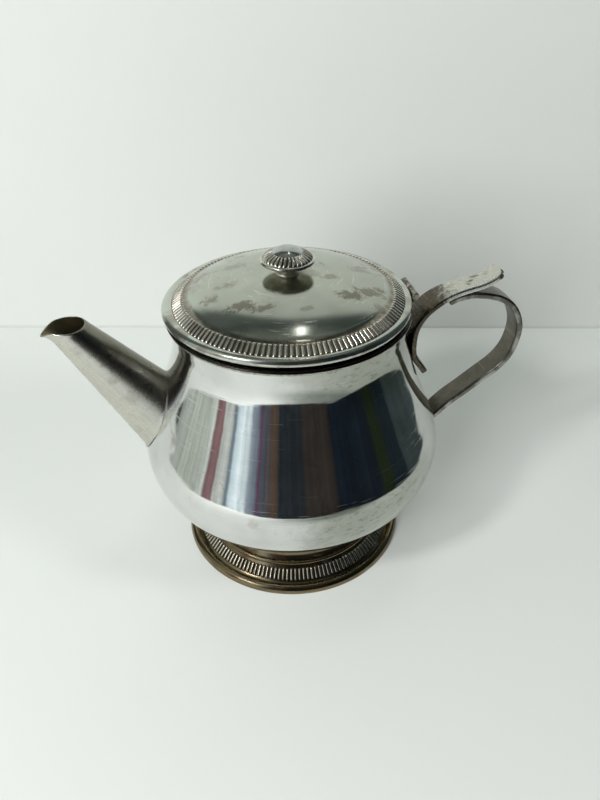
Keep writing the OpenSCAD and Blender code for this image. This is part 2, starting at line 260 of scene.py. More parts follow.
def strap_piece(name, line, thick, width_at, corner, crown, round_start=0.0, round_end=0.0):
    """Flat bar swept along a line in the XZ plane, with rounded edges and ends; its width follows X."""
    lengths = [0.0]
    for p, q in zip(line, line[1:]):
        lengths.append(lengths[-1] + (q - p).length)

    def half_width(s, x):
        full = width_at(x) / 2
        half = full
        for gap, rad in ((s, round_start), (lengths[-1] - s, round_end)):
            if gap < rad:
                half = min(half, full - rad + math.sqrt(rad * rad - (rad - gap) ** 2))
        return half

    def ring(p, normal, half_w, half_t, radius):
        places = [(p + normal * u, v) for u, v in bar_section(half_w, half_t, radius, crown)]
        return [(q.x, v, q.y) for q, v in places]

    rings = []
    bevel = 0.9 * corner
    last = len(line) - 1
    for i, p in enumerate(line):
        along = direction(line, i)
        normal = Vector((-along.y, along.x))
        half_w = half_width(lengths[i], p.x)
        if i in (0, last):
            outwards = along if i == last else -along
            end = []
            for degrees in (0, 30, 60, 90):
                a = math.radians(degrees)
                less = bevel * (1 - math.cos(a))
                place = p + outwards * bevel * math.sin(a)
                end.append(ring(place, normal, half_w - less, thick / 2 - less, bevel))
            rings += end if i == last else end[::-1]
        else:
            rings.append(ring(p, normal, half_w, thick / 2, corner))
    verts, faces = skin(rings, False)
    return finish_mesh(name, verts, faces, 45)


def dress(piece, body, material, node):
    """The piece rides on a body, takes a slot and a material, and stands for a CAD node."""
    piece.data.materials.clear()
    piece.data.materials.append(material)
    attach(piece, body)
    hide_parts(node)


# Materials

class Graph:
    """A material's node graph, with short names for the nodes used here."""

    def __init__(self, name):
        self.mat = bpy.data.materials.new(name)
        self.mat.use_nodes = True
        self.tree = self.mat.node_tree
        self.tree.nodes.clear()
        self.out = self.add("ShaderNodeOutputMaterial")

    def add(self, kind, **props):
        n = self.tree.nodes.new(kind)
        for k, v in props.items():
            setattr(n, k, v)
        return n

    def put(self, socket, value):
        if isinstance(value, bpy.types.NodeSocket):
            self.tree.links.new(value, socket)
        else:
            socket.default_value = value

    def math(self, op, a, b=0.0, clamp=False):
        n = self.add("ShaderNodeMath", operation=op, use_clamp=clamp)
        self.put(n.inputs[0], a)
        self.put(n.inputs[1], b)
        return n.outputs[0]

    def plus(self, a, b, clamp=False):
        return self.math("ADD", a, b, clamp)

    def minus(self, a, b):
        return self.math("SUBTRACT", a, b)

    def times(self, a, b):
        return self.math("MULTIPLY", a, b)

    def most(self, *values):
        """Largest of the values."""
        out = values[0]
        for v in values[1:]:
            out = self.math("MAXIMUM", out, v)
        return out

    def length(self, a, b):
        return self.math("SQRT", self.plus(self.times(a, a), self.times(b, b)))

    def ramp(self, value, low, high, to_low=0.0, to_high=1.0):
        """Smooth step of the value: to_low up to low, and to_high from high on."""
        n = self.add("ShaderNodeMapRange", interpolation_type="SMOOTHSTEP")
        self.put(n.inputs[0], value)
        for i, v in enumerate((low, high, to_low, to_high)):
            self.put(n.inputs[i + 1], v)
        return n.outputs[0]

    def mix(self, fac, a, b):
        """Colour between a and b."""
        n = self.add("ShaderNodeMix", data_type="RGBA")
        self.put(n.inputs[0], fac)
        self.put(n.inputs[6], a)
        self.put(n.inputs[7], b)
        return n.outputs[2]

    def noise(self, vec, scale, detail, rough=0.55, distort=0.0):
        n = self.add("ShaderNodeTexNoise")
        self.put(n.inputs["Vector"], vec)
        self.put(n.inputs["Scale"], scale)
        self.put(n.inputs["Detail"], detail)
        self.put(n.inputs["Roughness"], rough)
        self.put(n.inputs["Distortion"], distort)
        return n.outputs[0]

    def wobble(self, scale, detail, rough, size):
        """Noise of a size, up and down from zero."""
        return self.times(self.minus(self.noise(self.vec, scale, detail, rough), 0.5), size)

    def cells(self, vec, scale):
        """Distance to the nearest of many scattered points."""
        n = self.add("ShaderNodeTexVoronoi")
        self.put(n.inputs["Vector"], vec)
        self.put(n.inputs["Scale"], scale)
        return n.outputs["Distance"]

    def combine(self, x, y, z):
        n = self.add("ShaderNodeCombineXYZ")
        for i, v in enumerate((x, y, z)):
            self.put(n.inputs[i], v)
        return n.outputs[0]

    def place(self):
        """Sets vec, x, y, z, angle and radius: where the surface point is, in millimetres."""
        n = self.add("ShaderNodeVectorMath", operation="SCALE")
        self.put(n.inputs[0], self.add("ShaderNodeTexCoord").outputs["Object"])
        n.inputs[3].default_value = 1 / MM
        self.vec = n.outputs[0]
        sep = self.add("ShaderNodeSeparateXYZ")
        self.put(sep.inputs[0], self.vec)
        self.x, self.y, self.z = sep.outputs
        self.angle = self.math("ARCTAN2", self.y, self.x)
        self.radius = self.length(self.x, self.y)

    def turned(self, vec, degrees, scale):
        """The vector turned about Z and stretched."""
        n = self.add("ShaderNodeMapping")
        self.put(n.inputs["Vector"], vec)
        n.inputs["Rotation"].default_value = (0, 0, math.radians(degrees))
        n.inputs["Scale"].default_value = scale
        return n.outputs[0]

    def bump(self, height, strength, distance, normal=None):
        n = self.add("ShaderNodeBump")
        n.inputs["Strength"].default_value = strength
        n.inputs["Distance"].default_value = distance
        self.put(n.inputs["Height"], height)
        if normal is not None:
            self.put(n.inputs["Normal"], normal)
        return n.outputs[0]

    def finish(self, shader):
        """Material with the shader's socket on its output."""
        self.tree.links.new(shader, self.out.inputs[0])
        return self.mat

    def metal(self, colour, rough, normal):
        n = self.add("ShaderNodeBsdfPrincipled")
        self.put(n.inputs["Base Color"], colour)
        n.inputs["Metallic"].default_value = 1.0
        self.put(n.inputs["Roughness"], rough)
        self.put(n.inputs["Normal"], normal)
        return self.finish(n.outputs[0])

    def glow(self, colour, strength):
        n = self.add("ShaderNodeEmission")
        self.put(n.inputs[0], colour)
        self.put(n.inputs[1], strength)
        return self.finish(n.outputs[0])


def darker(colour, share):
    return tuple(c * share for c in colour[:3]) + (1,)


def scratches(g):
    """Thin random scratches in three directions on the unrolled surface."""
    flat = g.combine(g.times(g.angle, 55.0), g.plus(g.z, g.radius), 0.0)
    marks = []
    for degrees, along, across, rare in (
            (12, 0.035, 1.3, 0.66), (74, 0.05, 1.7, 0.67), (-38, 0.03, 1.1, 0.69)):
        drawn = g.turned(flat, degrees, (along, across, 1.0))
        marks.append(g.ramp(g.noise(drawn, 1.0, 2.0, 0.5, 0.3), rare, rare + 0.05))
    return g.most(*marks)


SILVER = (0.77, 0.78, 0.76, 1)
BRIGHT = (0.93, 0.93, 0.92, 1)
RUBBED = (0.66, 0.65, 0.60, 1)
BROWN = (0.26, 0.21, 0.155, 1)
OLIVE = (0.27, 0.29, 0.225, 1)
DARK = (0.055, 0.045, 0.032, 1)


def silver(name, clean, stain, patches, rough, wear_and_shade=None, streak=0.25, mark=0.25):
    """Worn silver plate: haze, brown tarnish patches, specks, spun lines and scratches.

    patches gives the noise scale of the tarnish, where the noise starts and ends to show it, and its
    weight. The function after rough adds what one piece has: its wear, and on some pieces painted shade and
    painted light. streak and mark are the weights of the lines and scratches.
    """
    scale, low, high, weight = patches
    g = Graph(name)
    g.place()
    haze = g.noise(g.vec, 0.045, 3.0)
    patch = g.ramp(g.noise(g.vec, scale, 8.0, 0.62, 0.4), low, high)
    speck = g.times(g.ramp(g.cells(g.vec, 0.55), 0.10, 0.22, 1.0, 0.0),
                    g.ramp(g.noise(g.vec, 0.06, 3.0), 0.52, 0.68))
    marks = scratches(g)
    colour = g.mix(g.ramp(haze, 0.35, 0.7), clean, darker(clean, 0.86))
    colour = g.mix(g.times(patch, weight), colour, stain)
    colour = g.mix(g.times(speck, 0.55), colour, stain)
    colour = g.mix(g.times(marks, mark), colour, BRIGHT)
    if wear_and_shade:
        colour = wear_and_shade(g, colour)
    rings = g.combine(g.times(g.angle, 1.2), g.times(g.z, 4.5), g.times(g.radius, 4.5))
    lines = g.noise(rings, 1.0, 3.0, 0.6)
    colour = g.mix(g.ramp(lines, 0.45, 0.75, 0.0, streak), colour, darker(clean, 0.6))
    roughness = g.plus(g.times(haze, 0.05), rough)
    roughness = g.plus(roughness, g.times(patch, 0.16 * weight))
    roughness = g.plus(roughness, g.times(marks, 0.10), clamp=True)
    normal = g.bump(lines, 0.35, 0.00001)
    normal = g.bump(g.times(marks, -1.0), 0.25, 0.00002, normal)
    normal = g.bump(g.noise(g.vec, 0.09, 2.0), 0.12, 0.0003, normal)
    return g.metal(colour, roughness, normal)


def spots(g, places, ragged):
    """Ragged patches, each with the x and y of its middle, its two half sizes and its weight."""
    edge = g.wobble(ragged, 8.0, 0.78, 5.0)
    found = []
    for x, y, half_x, half_y, weight in places:
        away = g.length(g.math("DIVIDE", g.minus(g.x, x), half_x), g.math("DIVIDE", g.minus(g.y, y), half_y))
        found.append(g.ramp(g.plus(away, edge), 1.2, 0.5, 0.0, weight))
    return g.most(*found)


def body_tarnish_and_shade(g, colour):
    """Olive on the handle's side of the neck and the low belly, partly tarnish and partly painted shade of
    that dimmer side, with dark flecks.
    """
    side = g.ramp(g.plus(g.x, g.wobble(0.045, 6.0, 0.65, 60.0)), -22.0, 16.0)
    where = g.most(g.ramp(g.z, 98.0, 114.0, 0.25, 0.74), g.ramp(g.z, 76.0, 62.0, 0.25, 0.68))
    colour = g.mix(g.times(side, where), colour, OLIVE)
    fleck = g.ramp(g.noise(g.turned(g.vec, 0, (1.0, 1.0, 2.2)), 0.22, 7.0, 0.75), 0.53, 0.61)
    low = g.times(g.ramp(g.z, 74.0, 62.0), g.ramp(g.x, -18.0, 12.0))
    high = g.times(g.ramp(g.z, 112.0, 120.0), g.ramp(g.x, -6.0, 12.0))
    return g.mix(g.times(fleck, g.times(g.most(low, high), 0.55)), colour, (0.15, 0.13, 0.095, 1))


# Worn patches of the lid, and pits of the thumb rest, as spots takes them
LID_PATCHES = (
    (-23, -21.5, 8, 3.2, 1.0), (-14.5, -26, 6, 2.4, 0.9), (23, -22, 7, 3, 1.0), (31, -18.5, 7, 3.4, 0.9),
    (37, -14.5, 3, 2.2, 0.8), (-35.5, -10.5, 4, 3, 0.8), (-28, -3.5, 5, 2, 0.55), (33, 1, 5, 3, 0.5),
    (-6, 10, 5, 3, 0.5), (17, -7.5, 4, 2, 0.6), (9, 24, 8, 3, 0.45), (-22, 14, 6, 3, 0.4),
    (2, -30, 4, 1.5, 0.5))
THUMB_PITS = (
    (87.0, 0.5, 1.6, 1.0, 1.0), (90.0, 3.4, 1.7, 1.1, 0.9), (85.2, -1.8, 1.2, 0.8, 0.9),
    (95.0, 2.0, 1.3, 1.6, 0.35))


def lid_wear(g, colour):
    """Brown patches where the plate is worn, and dirt beside the reeds."""
    colour = g.mix(g.times(spots(g, LID_PATCHES, 0.3), 0.78), colour, (0.155, 0.13, 0.095, 1))
    dirt = g.ramp(g.noise(g.vec, 0.35, 5.0), 0.3, 0.6, 0.45, 1.0)
    ring = g.ramp(g.radius, 43.6, 46.0, 0.0, 0.85)
    return g.mix(g.times(ring, dirt), colour, (0.17, 0.13, 0.085, 1))


def spout_streaks_and_painted_light(g, colour):
    """Painted shade darkens the upper side olive and painted light makes the lower side paler, by the place
    across the spout; streaks along it, and darker brown near the root.
    """
    dx, dz = g.plus(g.x, SPOUT_X0), g.minus(g.z, SPOUT_Z0)
    along = g.minus(g.times(dz, LEAN_Z), g.times(dx, LEAN_X))
    across = g.plus(g.times(dx, LEAN_Z), g.times(dz, LEAN_X))
    place = g.math("DIVIDE", across, g.minus(21.0, g.times(along, 0.154)))
    drawn = g.combine(g.times(along, 0.035), g.times(across, 0.9), g.times(g.y, 0.9))
    streaks = g.noise(drawn, 1.0, 4.0, 0.6)
    colour = g.mix(g.ramp(place, 0.15, 0.55, 0.0, 0.8), colour, (0.17, 0.155, 0.115, 1))
    colour = g.mix(g.ramp(place, -0.1, -0.5, 0.0, 0.6), colour, (0.66, 0.64, 0.55, 1))
    colour = g.mix(g.ramp(streaks, 0.45, 0.75, 0.0, 0.22), colour, (0.25, 0.24, 0.21, 1))
    return g.mix(g.ramp(along, 8.0, 30.0, 0.35, 0.0), colour, (0.20, 0.17, 0.12, 1))


def strap_wear(g, colour):
    """Edges rubbed bright, the face mottled."""
    mottle = g.ramp(g.noise(g.vec, 0.28, 6.0, 0.7), 0.40, 0.66)
    colour = g.mix(g.times(mottle, 0.6), colour, (0.095, 0.08, 0.062, 1))
    edge = g.ramp(g.math("ABSOLUTE", g.y), STRAP_W / 2 - 0.8, STRAP_W / 2 - 0.25)
    rub = g.ramp(g.noise(g.vec, 0.12, 3.0), 0.45, 0.62, 0.1, 0.6)
    return g.mix(g.times(edge, rub), colour, RUBBED)


def thumb_wear(g, colour):
    """Brown next to the pot, rubbed to pale metal on the thumb rest, with a few dark pits."""
    worn_x = g.ramp(g.plus(g.x, g.wobble(0.35, 7.0, 0.75, 26.0)), 70.0, 80.0)
    worn = g.times(worn_x, g.ramp(g.z, 121.0, 126.0))
    colour = g.mix(worn, colour, (0.66, 0.65, 0.585, 1))
    colour = g.mix(g.times(spots(g, THUMB_PITS, 0.9), 0.85), colour, (0.10, 0.085, 0.065, 1))
    edge = g.ramp(g.math("ABSOLUTE", g.y), STRAP_W / 2 - 0.7, STRAP_W / 2 - 0.2)
    return g.mix(g.times(g.times(edge, worn), 0.7), colour, (0.85, 0.84, 0.80, 1))


def seam_painted_shade(g, colour):
    """Painted shade: dark in the narrow gap under the lid's bead."""
    return g.mix(g.ramp(g.z, RIM_Z - 1.3, RIM_Z - 0.7), colour, (0.03, 0.026, 0.02, 1))


# Body silver: tarnish and flecks, with painted shade on the handle's side.
body_silver = silver("body_silver", SILVER, BROWN, (0.05, 0.60, 0.74, 0.45), 0.03, body_tarnish_and_shade, 0.18, 0.3)
lid_silver = silver("lid_silver", (0.52, 0.545, 0.475, 1), (0.26, 0.22, 0.17, 1), (0.06, 0.56, 0.66, 0.55),
                    0.12, lid_wear, 0.12, 0.45)
bead_silver = silver("bead_silver", (0.62, 0.64, 0.58, 1), BROWN, (0.10, 0.48, 0.62, 0.55), 0.15)
# Spout silver: streaks, painted shade on the upper side and painted light on the lower side.
spout_silver = silver("spout_silver", (0.58, 0.57, 0.53, 1), BROWN, (0.09, 0.50, 0.68, 0.5), 0.25, spout_streaks_and_painted_light)
spout_inside = silver("spout_inside", (0.40, 0.34, 0.21, 1), DARK, (0.12, 0.45, 0.75, 0.5), 0.42)
strap_silver = silver("strap_silver", (0.14, 0.132, 0.108, 1), DARK, (0.2, 0.45, 0.75, 0.4), 0.26, strap_wear)
thumb_silver = silver("thumb_silver", (0.105, 0.088, 0.066, 1), DARK, (0.3, 0.45, 0.75, 0.4), 0.24,
                      thumb_wear)
foot_bronze = silver("foot_bronze", (0.26, 0.205, 0.125, 1), DARK, (0.11, 0.45, 0.72, 0.6), 0.12)
knob_silver = silver("knob_silver", (0.72, 0.70, 0.64, 1), BROWN, (0.2, 0.48, 0.62, 0.6), 0.14)
stem_silver = silver("stem_silver", (0.72, 0.69, 0.60, 1), BROWN, (0.2, 0.42, 0.6, 0.4), 0.5)
button_grey = silver("button_grey", (0.55, 0.58, 0.55, 1), (0.40, 0.42, 0.39, 1), (0.25, 0.5, 0.66, 0.5),
                     0.12)
# Silver with painted shade under the lid's bead, for the mouth bead.
seam_shaded_silver = silver("seam_shaded_silver", (0.55, 0.56, 0.52, 1), BROWN, (0.3, 0.45, 0.6, 0.5), 0.2, seam_painted_shade)
hinge_grey = silver("hinge_grey", (0.42, 0.39, 0.33, 1), DARK, (0.35, 0.42, 0.58, 0.75), 0.24)


def reeded(name, crest, groove, count, gap_from, gap_to, rough):
    """Reeds with clean crests and dark tarnish in the gaps, by their angle round the axis."""
    g = Graph(name)
    g.place()
    turn = g.math("FRACT", g.plus(g.times(g.angle, count / (2 * math.pi)), 1000.0))
    off = g.math("ABSOLUTE", g.minus(turn, 0.5))
    gap = g.ramp(g.plus(off, g.wobble(0.5, 3.0, 0.55, 0.12)), gap_from, gap_to)
    dirt = g.ramp(g.noise(g.vec, 0.12, 5.0), 0.45, 0.65)
    colour = g.mix(g.times(dirt, 0.4), crest, groove)
    colour = g.mix(gap, colour, groove)
    roughness = g.plus(g.times(gap, 0.25), rough, clamp=True)
    normal = g.bump(g.noise(g.vec, 1.2, 3.0), 0.2, 0.00005)
    return g.metal(colour, roughness, normal)


lid_reed_metal = reeded("lid_reed_metal", (0.86, 0.82, 0.72, 1), (0.075, 0.055, 0.038, 1), LID_REEDS,
                        0.29, 0.42, 0.22)
foot_reed_metal = reeded("foot_reed_metal", (0.66, 0.60, 0.48, 1), (0.045, 0.036, 0.025, 1), FOOT_REEDS,
                         0.26, 0.40, 0.18)
flute_metal = reeded("flute_metal", (0.78, 0.75, 0.67, 1), (0.07, 0.058, 0.042, 1), FLUTES, 0.30, 0.44, 0.15)


# Pot

def up(share):
    """Height on the pot's upper part, as a share of the way from the belly to the edge."""
    return blend(BELLY_Z, EDGE_Z, share)


def low(share):
    """Height on the pot's lower part, as a share of the way from the underside to the belly."""
    return blend(BASE_Z, BELLY_Z, share)


def wide(share):
    """Radius on the pot's upper part, as a share of the way from the edge to the belly."""
    return blend(EDGE_R, BELLY_R, share)


POT = smooth(
    [(0, BASE_Z), (0.2 * BELLY_R, BASE_Z), (0.4 * BELLY_R, BASE_Z + 0.3)]
    + [(a * BELLY_R, low(b)) for a, b in (
        (0.54, 0.07), (0.64, 0.17), (0.72, 0.265), (0.78, 0.35), (0.85, 0.46), (0.912, 0.575), (0.96, 0.7),
        (0.99, 0.85), (1, 1))]
    + [(wide(a), up(b)) for a, b in (
        (0.96, 0.09), (0.84, 0.18), (0.66, 0.29), (0.44, 0.435), (0.23, 0.58), (0.085, 0.7), (0, 0.79),
        (-0.035, 0.87), (-0.02, 0.94), (0, 1))], 6)


def strainer_rods():
    """Rods that cut the strainer's holes behind the spout."""
    verts, faces = [], []
    for row, count in enumerate(STRAINER_ROWS):
        z = up(0.12) + STRAINER_STEP * row
        for k in range(count):
            y = STRAINER_PITCH * (k - (count - 1) / 2)
            ends = [[(x, y + STRAINER_R * math.cos(a), z + STRAINER_R * math.sin(a)) for a in turn_angles(20)]
                    for x in (-BELLY_R, -BELLY_R / 2)]
            rod_verts, rod_faces = skin(ends, False)
            faces += [tuple(len(verts) + i for i in f) for f in rod_faces]
            verts += rod_verts
    return finish_mesh("strainer_cutter", verts, faces)


def cut(piece, cutter):
    """The piece with the cutter taken out of it; the cutter goes."""
    taken = piece.modifiers.new("cut", "BOOLEAN")
    taken.operation = "DIFFERENCE"
    taken.solver = "EXACT"
    taken.object = cutter
    bpy.context.view_layer.update()
    mesh = bpy.data.meshes.new_from_object(piece.evaluated_get(bpy.context.evaluated_depsgraph_get()))
    piece.modifiers.clear()
    piece.data = mesh
    bpy.data.objects.remove(cutter)


pot = lathe("pot_body", sheet_section(POT, WALL), 256)
cut(pot, strainer_rods())
dress(pot, "pot", body_silver, "pot_shell")


# Spout

def spout_point(t, u, inset, grow=0.0):
    """Point on the spout's oval at the level t and the angle u."""
    half_l = blend(ROOT_L, MOUTH_L, t) / 2 - 1.5 * inset + 1.4 * grow
    half_w = blend(ROOT_W, MOUTH_W, t) / 2 - inset + grow
    beak = max(0.0, (t - 0.9) / 0.1) ** 2 * (max(0.0, math.cos(u) - 0.45) / 0.55) ** 2
    x = blend(SPOUT_X0, MOUTH_X, t) + half_l * math.cos(u) + BEAK_OUT * beak
    y = half_w * math.sin(u) * (1 - BEAK_TAPER * t * math.cos(u))
    z = blend(SPOUT_Z0, SPOUT_Z1, t) - BEAK_DIP * beak
    return (-x, y, z)


def spout_start(u, inset):
    """Level at which the spout's line at the angle u comes out of the pot's sheet."""
    below, above = 0.0, 0.95
    for _ in range(40):
        mid = (below + above) / 2
        x, y, z = spout_point(mid, u, inset)
        if math.hypot(x, y) < lookup(z, POT) - 0.5:
            below = mid
        else:
            above = mid
    return (below + above) / 2


def solder_and_lip(from_root, to_mouth):
    """How far the outside stands out: a solder ridge at the root and a faint edge at the mouth."""
    ridge = 0.6 * math.exp(-from_root ** 2) + 0.2 * math.exp(-from_root / 5)
    return ridge + 0.12 * math.exp(-(to_mouth / 0.9) ** 2)


def spout_wall(inset, turns, levels):
    """Rings of points up the spout's outside, with no inset, or its inside, thinner near the lip."""
    rings = [[] for _ in range(levels + 1)]
    for u in turn_angles(turns):
        start = spout_start(u, inset)
        for j, ring in enumerate(rings):
            s = j / levels
            s = s * s * (3 - 2 * s) * 0.6 + s * 0.4
            t = start + (1 - start) * s
            to_mouth = (1 - t) * SPOUT_RUN
            grow = 0.0 if inset else solder_and_lip((t - start) * SPOUT_RUN, to_mouth)
            ring.append(spout_point(t, u, inset * (1 - 0.5 * max(0.0, 1 - to_mouth / 6)), grow))
    return rings


TURNS, LEVELS = 120, 64
# Level, inset and growth of the three rings that round the lip off
LIP = ((1.003, 0.08, 0.05), (1.0045, 0.25, 0.0), (1.003, 0.42, 0.0))
lip = [[spout_point(t, u, inset, grow) for u in turn_angles(TURNS)] for t, inset, grow in LIP]
outside = spout_wall(0.0, TURNS, LEVELS) + lip
inside = spout_wall(SPOUT_WALL, TURNS, LEVELS)[::-1]
spout_verts, spout_faces = skin(outside + inside, True)
spout = finish_mesh("spout_tube", spout_verts, spout_faces, 50)
dress(spout, "pot", spout_silver, "spout")
spout.data.materials.append(spout_inside)
inner_from, inner_to = (len(outside) - 1) * TURNS, (len(outside) + len(inside) - 1) * TURNS
for face in spout.data.polygons:
    face.material_index = 1 if inner_from <= face.index < inner_to else 0


# Foot

FOOT = smooth([(FOOT_R - a, b) for a, b in (
    (4.6, 1.6), (5.6, 2.2), (6.7, 3.2), (8.8, 5.2), (10.9, 7.3), (12.2, 8.8), (13.4, 10.6),
    (14.6, 13), (15.2, 16), (15, 19), (14.3, 21.6))], 6)
skirt = lathe("foot_spun_skirt", sheet_section(FOOT, FOOT_WALL))
dress(skirt, "pot", foot_bronze, "foot_skirt")
flange = lathe("foot_flange", arc(FOOT_R - FLANGE_HALF, 0, FLANGE_HALF, 0, 180, 30, FLANGE_H), 256)
dress(flange, "pot", foot_bronze, "foot_rim")
foot_reeds = reed_band("foot_reeds", (FOOT_R - 10.7, 7.0), (FOOT_R - 6.0, 2.5), 0.95, FOOT_REEDS, 0.93)
dress(foot_reeds, "pot", foot_reed_metal, "foot_reed_band")
fillet = lathe("foot_fillet", arc(FOOT_R - 12, 9.3, FOOT_BEAD_R, 0, 360, 24)[:-1])
dress(fillet, "pot", foot_bronze, "foot_bead")


# Handle

GRIP_Z = RIM_Z - 31.2
GRIP_X = lookup(GRIP_Z, POT)
UPPER = smooth([(GRIP_X + a, GRIP_Z + b) for a, b in (
    (8.5, -11.6), (4.9, -6.5), (2.5, -3), (1.3, 0), (0.8, 3), (0.7, 6), (0.8, 9.4), (1.4, 13.6), (3.2, 17.9),
    (6.2, 22), (10.6, 25.6), (15.5, 28.3), (21.4, 30.3), (27.7, 31.5), (32.7, 32.6), (36.9, 34.2),
    (40.1, 36.2), (42.1, 37.75))], 8)


def upper_width(x):
    """Width of the upper strap, which gets narrower over 20 mm on its way to the thumb rest."""
    return blend(BASE_W, STRAP_W, min(1.0, max(0.0, (x - GRIP_X - 8) / 20)))


thumb_strap = strap_piece("thumb_strap", UPPER, UPPER_T, upper_width, 0.8, 0.12, 2.5, 3.0)
dress(thumb_strap, "pot", thumb_silver, "upper_strap")

ROOT_Z = BELLY_Z - 1
ROOT_X = lookup(ROOT_Z, POT)
LOWER = smooth(
    [(ROOT_X + a, ROOT_Z + b) for a, b in ((0.0, -0.9), (2.8, 0.9), (6.8, 5.1), (11.4, 9.1), (17.4, 13.5))]
    + [(LOOP_X + a, RIM_Z + b) for a, b in (
        (-16.6, -51.5), (-10.7, -47), (-6.4, -42.5), (-3.4, -37.1), (-1.9, -31.4), (-1.5, -25.7),
        (-2.4, -20.2), (-4.8, -14.7), (-8.7, -9.8), (-13.8, -6.4), (-19.5, -4.4), (-25, -3.3))]
    + [(GRIP_X + a, RIM_Z + b) for a, b in ((28.5, -2.9), (24.2, -3.2), (20, -4.2), (17.6, -5.2))], 8)
loop_strap = strap_piece("loop_strap", LOWER, LOWER_T, lambda x: STRAP_W, 0.85, 0.1)
dress(loop_strap, "pot", strap_silver, "lower_strap")


# Lid

LID = smooth(
    [(STUD_R, DOME_Z)]
    + [(r, DOME_Z - drop) for r, drop in ((7, 0.1), (14, 0.45), (21, 1.15), (28, 2.3), (34, 3.8), (39, 5.5))]
    + [(LID_R - a, LID_Z + b) for a, b in (
        (12, 6.2), (10, 5.2), (8.7, 4.7), (7.6, 4.3), (5.6, 3), (3, 1.2))], 6)
lid = lathe("lid_dome", sheet_section(LID, -LID_WALL), 256)
dress(lid, "lid", lid_silver, "lid_shell")


def spread(angle, r, z):
    """The bead is a little wider on the spout's side."""
    out = max(0.0, (r - LID_R + BEAD_R) / BEAD_R)
    off = (angle - math.pi) / 0.75
    return r + 1.5 * out * math.exp(-off * off), z


lid_bead = lathe("lid_bead", arc(LID_R - BEAD_R, LID_Z, BEAD_R, 0, 360, 36)[:-1], 256, spread)
dress(lid_bead, "lid", bead_silver, "lid_rim_bead")
lid_reeds = reed_band("lid_reeds", (LID_R - 8.4, LID_Z + 4.5), (LID_R - 3.1, LID_Z + 1.2), 0.9, LID_REEDS,
                      0.98)
dress(lid_reeds, "lid", lid_reed_metal, "lid_reed_band")


# Knob

STEM = smooth([
    (BORE_R, DOME_Z - 0.1), (5.4, DOME_Z - 0.2), (5.5, DOME_Z + 0.4), (4.6, DOME_Z + 1.3),
    (4.4, DOME_Z + 2.4), (5.2, DOME_Z + 3.4), (8, CAP_Z - 0.8), (KNOB_R - 1.6, CAP_Z - 0.4),
    (KNOB_R - 1.2, CAP_Z - 0.15), (KNOB_R - 1.4, CAP_Z), (BORE_R, CAP_Z)], 5)
stem = lathe("knob_stem", [tuple(p) for p in STEM], 96)
dress(stem, "lid", stem_silver, "knob_base")

CAP = ([(BORE_R, CAP_Z), (KNOB_R - 1, CAP_Z)]
       + arc(KNOB_R - LIP_R, CAP_Z + LIP_R, LIP_R, -85, 85, 12)
       + [(KNOB_R - a, CAP_Z + b) for a, b in (
           (1, 1.75), (1.05, 2.1), (1.35, 2.55), (1.9, 2.98), (2.5, 3.35), (3.1, 3.7), (3.8, 4), (4.5, 4.3))]
       + [(BUTTON_R + 0.4, SEAT_Z), (BUTTON_R + 0.1, SEAT_Z), (BUTTON_R - 0.2, SEAT_Z - 0.2),
          (BORE_R, SEAT_Z - 0.2)])


def flutes(angle, r, z):
    """Sinks the gaps between the flutes into the cap's slope."""
    if BUTTON_R < r < FLUTE_R and z > FLUTE_Z:
        lobe = abs(math.sin(angle * FLUTES / 2)) ** 0.55
        drop = 0.75 * (1 - lobe) * min(1.0, (FLUTE_R - r) / 0.3 + 0.35, (r - BUTTON_R) / 0.3)
        return r - 0.45 * drop, z - 0.85 * drop
    return r, z


knob_cap = lathe("knob_fluted_cap", CAP, 384, flutes, 50)
dress(knob_cap, "lid", knob_silver, "knob_cap")
knob_cap.data.materials.append(flute_metal)
for face in knob_cap.data.polygons:
    fluted = face.center.z > (FLUTE_Z - 0.05) * MM and face.center.xy.length < (FLUTE_R + 0.03) * MM
    face.material_index = 1 if fluted else 0

ball_r = (BUTTON_R ** 2 + BUTTON_H ** 2) / (2 * BUTTON_H)
ball_z = SEAT_Z + BUTTON_H - ball_r
ball_edge = 90 - math.degrees(math.asin(BUTTON_R / ball_r))
button = lathe("knob_top_button", [(0.0, SEAT_Z - 0.2)] + arc(0, ball_z, ball_r, ball_edge, 90, 24), 128)
dress(button, "lid", button_grey, "knob_button")


# CAD nodes that stay

# The mouth bead takes the silver with painted shade under the lid's bead.
for node, material in (("mouth_bead", seam_shaded_silver), ("hinge_pot_leaf", hinge_grey), ("hinge_pin", hinge_grey),
                       ("hinge_lid_leaf", hinge_grey), ("lid_bezel", bead_silver), ("knob_stud", hinge_grey),
                       ("knob_nut", hinge_grey)):
    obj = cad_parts[node]
    obj.data.materials.clear()
    obj.data.materials.append(material)


# Stage: floor, wall, and the dim room that the polished metal mirrors

# Turn between the stage, with X right and Y away from the camera, and the part
TURN_Z = math.radians(10)
LEFT_X, RIGHT_X, FRONT_Y = -420.0, 300.0, -450.0
WALL_LEFT, WALL_TOP = -700.0, 760.0
ROOM_TOP = 1300.0
# Reach of the round card in front of the table: from its first azimuth over its span, in degrees
CARD_FROM, CARD_SPAN, CARD_R, CARD_FOOT = -100.0, 226.0, 800.0, -400.0


def to_part(x, y, z):
    """Point or direction of the stage in the part's frame."""
    c, s = math.cos(TURN_Z), math.sin(TURN_Z)
    return Vector((x * c + y * s, -x * s + y * c, z))


def stage_mesh(name, verts, material, camera=True, faces=((0, 1, 2, 3),)):
    mesh = bpy.data.meshes.new(name)
    mesh.from_pydata([to_part(*v) * MM for v in verts], [], faces)
    mesh.materials.append(material)
    obj = bpy.data.objects.new(name, mesh)
    scene.collection.objects.link(obj)
    obj.visible_camera = camera
    return obj


def level_sheet(name, x0, x1, y0, y1, z, material, camera=True):
    return stage_mesh(name, [(x0, y0, z), (x1, y0, z), (x1, y1, z), (x0, y1, z)], material, camera)


